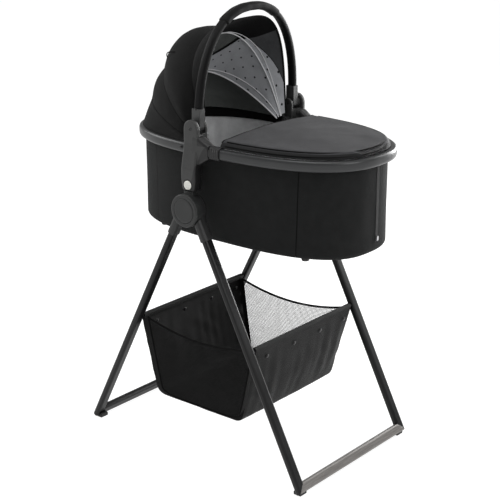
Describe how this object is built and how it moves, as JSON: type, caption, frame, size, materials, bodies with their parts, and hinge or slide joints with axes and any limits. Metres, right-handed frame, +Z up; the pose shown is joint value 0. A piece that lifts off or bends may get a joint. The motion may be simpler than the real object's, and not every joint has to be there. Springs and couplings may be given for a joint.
{
  "type": "bassinet with stand",
  "caption": "Oval fabric bassinet with folding canopy, padded apron and swinging carry handle, lifted onto a folding A-frame stand with a hanging storage basket.",
  "frame": {"origin": "on the floor, under the middle of the bounding box in length and width", "axes": "+X to the foot end, +Y to the far side, +Z up"},
  "size_m": [0.9127, 0.576, 1.3553],
  "materials": {
    "leg_paint": "satin",
    "rim_paint": "satin",
    "hub_plastic": "matte",
    "black_plastic": "matte",
    "white_plastic": "satin",
    "rubber": "matte",
    "steel": "satin",
    "tub_cloth": "matte",
    "apron_cloth": "matte",
    "lining_cloth": "matte",
    "canopy_cloth": "matte",
    "basket_cloth": "matte",
    "net_cloth": "matte",
    "mattress_cloth": "matte",
    "board": "matte",
    "grip_foam": "matte"
  },
  "bodies": {
    "stand_head_frame": {"head_leg_near": "leg_paint", "head_leg_far": "leg_paint", "head_floor_bar": "leg_paint", "head_pad_near": "rubber", "head_pad_far": "rubber", "hub_outer_near": "hub_plastic", "hub_outer_far": "hub_plastic", "hub_cover_near": "hub_plastic", "hub_cover_far": "hub_plastic", "arm_tongue_near": "steel", "arm_tongue_far": "steel", "pivot_bolt_near": "steel", "pivot_bolt_far": "steel", "basket_rod_head": "leg_paint", "basket_cloth": "basket_cloth", "basket_net_near": "net_cloth", "basket_net_far": "net_cloth"},
    "stand_foot_frame": {"foot_leg_near": "leg_paint", "foot_leg_far": "leg_paint", "foot_floor_bar": "leg_paint", "foot_pad_near": "rubber", "foot_pad_far": "rubber", "hub_inner_near": "hub_plastic", "hub_inner_far": "hub_plastic", "basket_rod_foot": "leg_paint"},
    "bassinet": {"side_arm_near": "hub_plastic", "side_arm_far": "hub_plastic", "handle_screw_near": "steel", "handle_screw_far": "steel", "rim_collar_near": "black_plastic", "rim_collar_far": "black_plastic", "rim_tube_head": "rim_paint", "rim_tube_foot": "rim_paint", "tub_wall": "tub_cloth", "tub_lining": "lining_cloth", "base_board": "board", "mattress": "mattress_cloth", "base_foot_head_near": "black_plastic", "base_foot_head_far": "black_plastic", "base_foot_foot_near": "black_plastic", "base_foot_foot_far": "black_plastic", "apron": "apron_cloth", "zip_tape": "black_plastic", "canopy_skirt": "canopy_cloth", "canopy_pin_near": "steel", "canopy_pin_far": "steel"},
    "carry_handle": {"handle_tube": "rim_paint", "handle_grip": "grip_foam", "handle_end_near": "hub_plastic", "handle_end_far": "hub_plastic"},
    "canopy_rear": {"canopy_rear_hoop": "black_plastic", "canopy_rear_panel": "canopy_cloth"},
    "canopy_mid": {"canopy_mid_hoop": "black_plastic", "canopy_front_panel": "canopy_cloth"},
    "canopy_front": {"canopy_front_hoop": "black_plastic", "canopy_visor": "canopy_cloth"},
    "release_button_near_body": {"release_button_near": "white_plastic"},
    "release_button_far_body": {"release_button_far": "white_plastic"},
    "zip_slider": {"zip_pull": "steel"}
  },
  "joints": [
    {"name": "stand_fold", "type": "hinge", "parent": "stand_head_frame", "child": "stand_foot_frame", "pos_m": [-0.03052, 0, 0.785], "axis": [0, 1, 0], "range_deg": [0, 50], "deforming": ["basket_cloth", "basket_net_near", "basket_net_far"]},
    {"name": "bassinet_lift", "type": "slide", "parent": "stand_head_frame", "child": "bassinet", "axis": [0, 0, 1], "range_m": [0, 0.12]},
    {"name": "carry_handle_swing", "type": "hinge", "parent": "bassinet", "child": "carry_handle", "pos_m": [-0.03052, 0, 1.021], "axis": [0, 1, 0], "range_deg": [0, 70]},
    {"name": "canopy_rear_turn", "type": "hinge", "parent": "bassinet", "child": "canopy_rear", "pos_m": [-0.03052, 0, 0.972], "axis": [0, -1, 0], "range_deg": [0, 14], "deforming": ["canopy_skirt", "canopy_rear_panel"]},
    {"name": "canopy_mid_turn", "type": "hinge", "parent": "canopy_rear", "child": "canopy_mid", "pos_m": [-0.03052, 0, 0.972], "axis": [0, -1, 0], "range_deg": [0, 15], "deforming": ["canopy_rear_panel", "canopy_front_panel"]},
    {"name": "canopy_front_turn", "type": "hinge", "parent": "canopy_mid", "child": "canopy_front", "pos_m": [-0.03052, 0, 0.972], "axis": [0, -1, 0], "range_deg": [0, 28], "deforming": ["canopy_front_panel"]},
    {"name": "release_button_near_press", "type": "slide", "parent": "bassinet", "child": "release_button_near_body", "axis": [0, 1, 0], "range_m": [0, 0.003], "stiffness_N_per_m": 300},
    {"name": "release_button_far_press", "type": "slide", "parent": "bassinet", "child": "release_button_far_body", "axis": [0, -1, 0], "range_m": [0, 0.003], "stiffness_N_per_m": 300},
    {"name": "zip_slide", "type": "slide", "parent": "bassinet", "child": "zip_slider", "axis": [0, 0, 1], "range_m": [0, 0.17]}
  ],
  "couplings": [
    {"joint": "canopy_rear_turn", "follows": "canopy_front_turn", "ratio": 0.5},
    {"joint": "canopy_mid_turn", "follows": "canopy_front_turn", "ratio": 0.5357}
  ]
}
